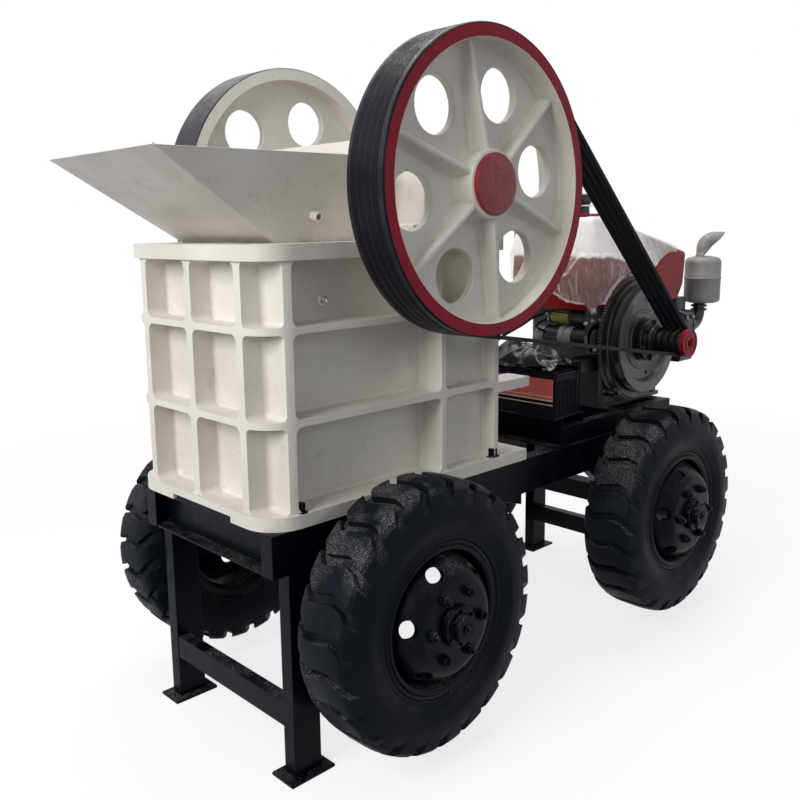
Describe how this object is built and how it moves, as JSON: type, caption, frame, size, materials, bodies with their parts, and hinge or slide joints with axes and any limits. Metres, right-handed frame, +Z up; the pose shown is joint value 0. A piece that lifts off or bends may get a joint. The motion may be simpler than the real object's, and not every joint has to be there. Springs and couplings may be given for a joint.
{
  "type": "mobile jaw crusher",
  "caption": "Engine-driven jaw crusher with a ribbed cast frame, feed hopper, belt sheave and flywheel on a channel-steel chassis with road wheels and fixed legs.",
  "frame": {"origin": "on the ground, under the middle of the machine's bounding box, half way between the two rails", "axes": "+X from the feed end to the engine end, +Y to the side away from the belts, +Z up"},
  "size_m": [2.911, 1.4, 2.1523],
  "materials": {
    "cream_paint": "satin enamel, slightly rough cast skin",
    "dark_red_paint": "gloss enamel",
    "black_paint": "gloss enamel",
    "tyre_rubber": "matt",
    "belt_rubber": "matt",
    "cast_steel": "rough as cast",
    "bright_steel": "turned",
    "engine_grey": "satin",
    "hood_red": "gloss enamel",
    "muffler_silver": "silver heat paint",
    "battery_case": "moulded",
    "film": "thin clear film"
  },
  "bodies": {
    "machine_frame": {"rail_near": "black_paint", "rail_far": "black_paint", "cross_beams": "black_paint", "front_legs": "black_paint", "rear_legs": "black_paint", "leg_braces": "black_paint", "axle_front": "black_paint", "axle_rear": "black_paint", "engine_subframe": "black_paint", "crusher_front_frame": "cream_paint", "crusher_side_frame_near": "cream_paint", "crusher_side_frame_far": "cream_paint", "crusher_rear_frame": "cream_paint", "fixed_jaw_plate": "cast_steel", "swing_jaw": "cream_paint", "swing_jaw_plate": "cast_steel", "cheek_plates": "cast_steel", "toggle_plate": "cast_steel", "toggle_seat": "cast_steel", "bearing_housing_near": "cream_paint", "bearing_housing_far": "cream_paint", "hopper_front_plate": "cream_paint", "hopper_near_plate": "cream_paint", "hopper_far_plate": "cream_paint", "hopper_rear_plate": "cream_paint", "v_belts": "belt_rubber", "engine_block": "engine_grey", "cylinder_head": "engine_grey", "engine_hood": "hood_red", "radiator_neck": "engine_grey", "muffler": "muffler_silver", "exhaust_elbow": "engine_grey", "starter_motor": "engine_grey", "starter_solenoid": "engine_grey", "battery": "battery_case", "film_cover": "film"},
    "crusher_drive": {"eccentric_shaft": "bright_steel", "drive_sheave": "cream_paint", "flywheel": "cream_paint", "sheave_hub_cover": "dark_red_paint"},
    "engine_drive": {"engine_flywheel": "engine_grey", "engine_pulley": "dark_red_paint"},
    "road_wheel_front_near": {"tyre_front_near": "tyre_rubber", "wheel_front_near": "black_paint"},
    "road_wheel_front_far": {"tyre_front_far": "tyre_rubber", "wheel_front_far": "black_paint"},
    "road_wheel_rear_near": {"tyre_rear_near": "tyre_rubber", "wheel_rear_near": "black_paint"},
    "road_wheel_rear_far": {"tyre_rear_far": "tyre_rubber", "wheel_rear_far": "black_paint"}
  },
  "joints": [
    {"name": "crusher_shaft_spin", "type": "hinge", "parent": "machine_frame", "child": "crusher_drive", "pos_m": [-0.4825, 0, 1.7], "axis": [0, 1, 0], "continuous": true},
    {"name": "engine_crank_spin", "type": "hinge", "parent": "machine_frame", "child": "engine_drive", "pos_m": [0.7425, 0, 1.101], "axis": [0, 1, 0], "continuous": true},
    {"name": "road_wheel_front_near_spin", "type": "hinge", "parent": "machine_frame", "child": "road_wheel_front_near", "pos_m": [-0.7935, 0, 0.4665], "axis": [0, 1, 0], "continuous": true},
    {"name": "road_wheel_front_far_spin", "type": "hinge", "parent": "machine_frame", "child": "road_wheel_front_far", "pos_m": [-0.7935, 0, 0.4665], "axis": [0, 1, 0], "continuous": true},
    {"name": "road_wheel_rear_near_spin", "type": "hinge", "parent": "machine_frame", "child": "road_wheel_rear_near", "pos_m": [0.5695, 0, 0.4665], "axis": [0, 1, 0], "continuous": true},
    {"name": "road_wheel_rear_far_spin", "type": "hinge", "parent": "machine_frame", "child": "road_wheel_rear_far", "pos_m": [0.5695, 0, 0.4665], "axis": [0, 1, 0], "continuous": true}
  ],
  "couplings": [
    {"joint": "engine_crank_spin", "follows": "crusher_shaft_spin", "ratio": 8.5962}
  ]
}
